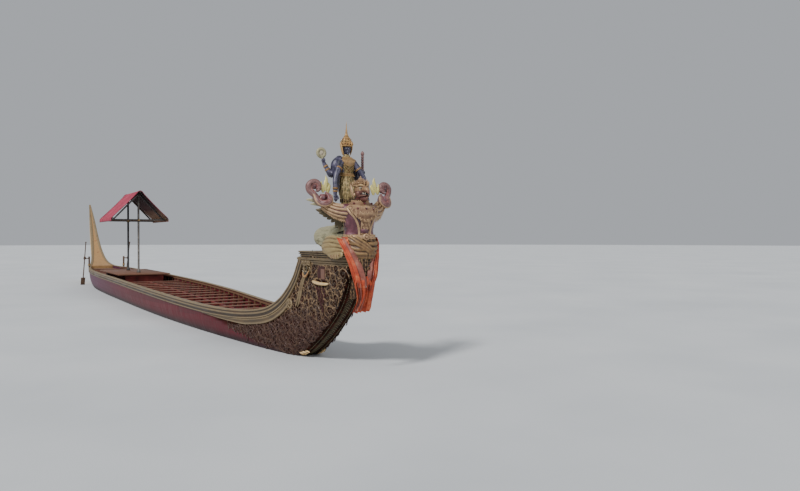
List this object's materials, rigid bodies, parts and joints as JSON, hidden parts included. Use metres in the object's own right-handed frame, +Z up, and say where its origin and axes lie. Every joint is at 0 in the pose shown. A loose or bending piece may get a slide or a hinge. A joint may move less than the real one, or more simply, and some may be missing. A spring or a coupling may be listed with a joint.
{
  "type": "royal barge, 1:2 scale model",
  "caption": "Long narrow ceremonial rowing barge with a carved prow, a winged figurehead under a crowned deity, a cloth-roofed pavilion and a swept-up stern.",
  "frame": {"origin": "amidships on the centreline, at the waterline", "axes": "+X towards the bow, +Y to port, +Z up"},
  "size_m": [21.7525, 1.6314, 3.2991],
  "materials": {
    "hull_lacquer": "maroon lacquer on planks, satin",
    "gilded_carving": "carved wood, gilded and worn to bronze-brown",
    "deck_paint": "red paint, worn matt",
    "bare_teak": "oiled teak",
    "roof_timber": "black-brown lacquered timber",
    "canopy_cloth": "crimson woven cloth",
    "sash_cloth": "orange-red silk, creased",
    "figure_lacquer": "red-brown lacquer with gilt ornament",
    "blue_lacquer": "indigo lacquer"
  },
  "bodies": {
    "barge": {"afterdeck": "deck_paint", "canopy_cloth": "canopy_cloth", "canopy_eave_port": "roof_timber", "canopy_eave_starboard": "roof_timber", "canopy_post_aft": "roof_timber", "canopy_post_fore": "roof_timber", "canopy_ridge_pole": "roof_timber", "canopy_truss_aft": "roof_timber", "canopy_truss_fore": "roof_timber", "deity_arm_club": "blue_lacquer", "deity_arm_discus": "blue_lacquer", "deity_arm_lower_port": "blue_lacquer", "deity_arm_lower_starboard": "blue_lacquer", "deity_body": "gilded_carving", "deity_head": "gilded_carving", "figure_sash": "sash_cloth", "foredeck": "deck_paint", "garuda_arm_port": "figure_lacquer", "garuda_arm_starboard": "figure_lacquer", "garuda_body": "figure_lacquer", "garuda_head": "figure_lacquer", "garuda_tail": "gilded_carving", "garuda_wing_port": "gilded_carving", "garuda_wing_starboard": "gilded_carving", "gun_port_port": "gilded_carving", "gun_port_starboard": "gilded_carving", "gunwale_port": "gilded_carving", "gunwale_starboard": "gilded_carving", "keel_plank": "hull_lacquer", "keelson": "bare_teak", "naga_port": "gilded_carving", "naga_starboard": "gilded_carving", "oar_post_port": "bare_teak", "oar_post_starboard": "bare_teak", "pavilion_platform": "deck_paint", "planking_port": "hull_lacquer", "planking_starboard": "hull_lacquer", "prow_block": "gilded_carving", "prow_cap": "gilded_carving", "sole_boards": "deck_paint", "stem_corbel": "gilded_carving", "stern_block": "gilded_carving", "thwarts_aft": "deck_paint", "thwarts_fore": "deck_paint"},
    "oar_starboard": {"steering_oar_starboard": "bare_teak"},
    "oar_port": {"steering_oar_port": "bare_teak"}
  },
  "joints": [
    {"name": "starboard_oar_steer", "type": "hinge", "parent": "barge", "child": "oar_starboard", "pos_m": [-7.3, -0.67, 0.89], "axis": [0.5, 0, 0.866], "range_deg": [-60, 60]},
    {"name": "port_oar_steer", "type": "hinge", "parent": "barge", "child": "oar_port", "pos_m": [-7.3, 0.67, 0.89], "axis": [0.5, 0, 0.866], "range_deg": [-60, 60]}
  ]
}
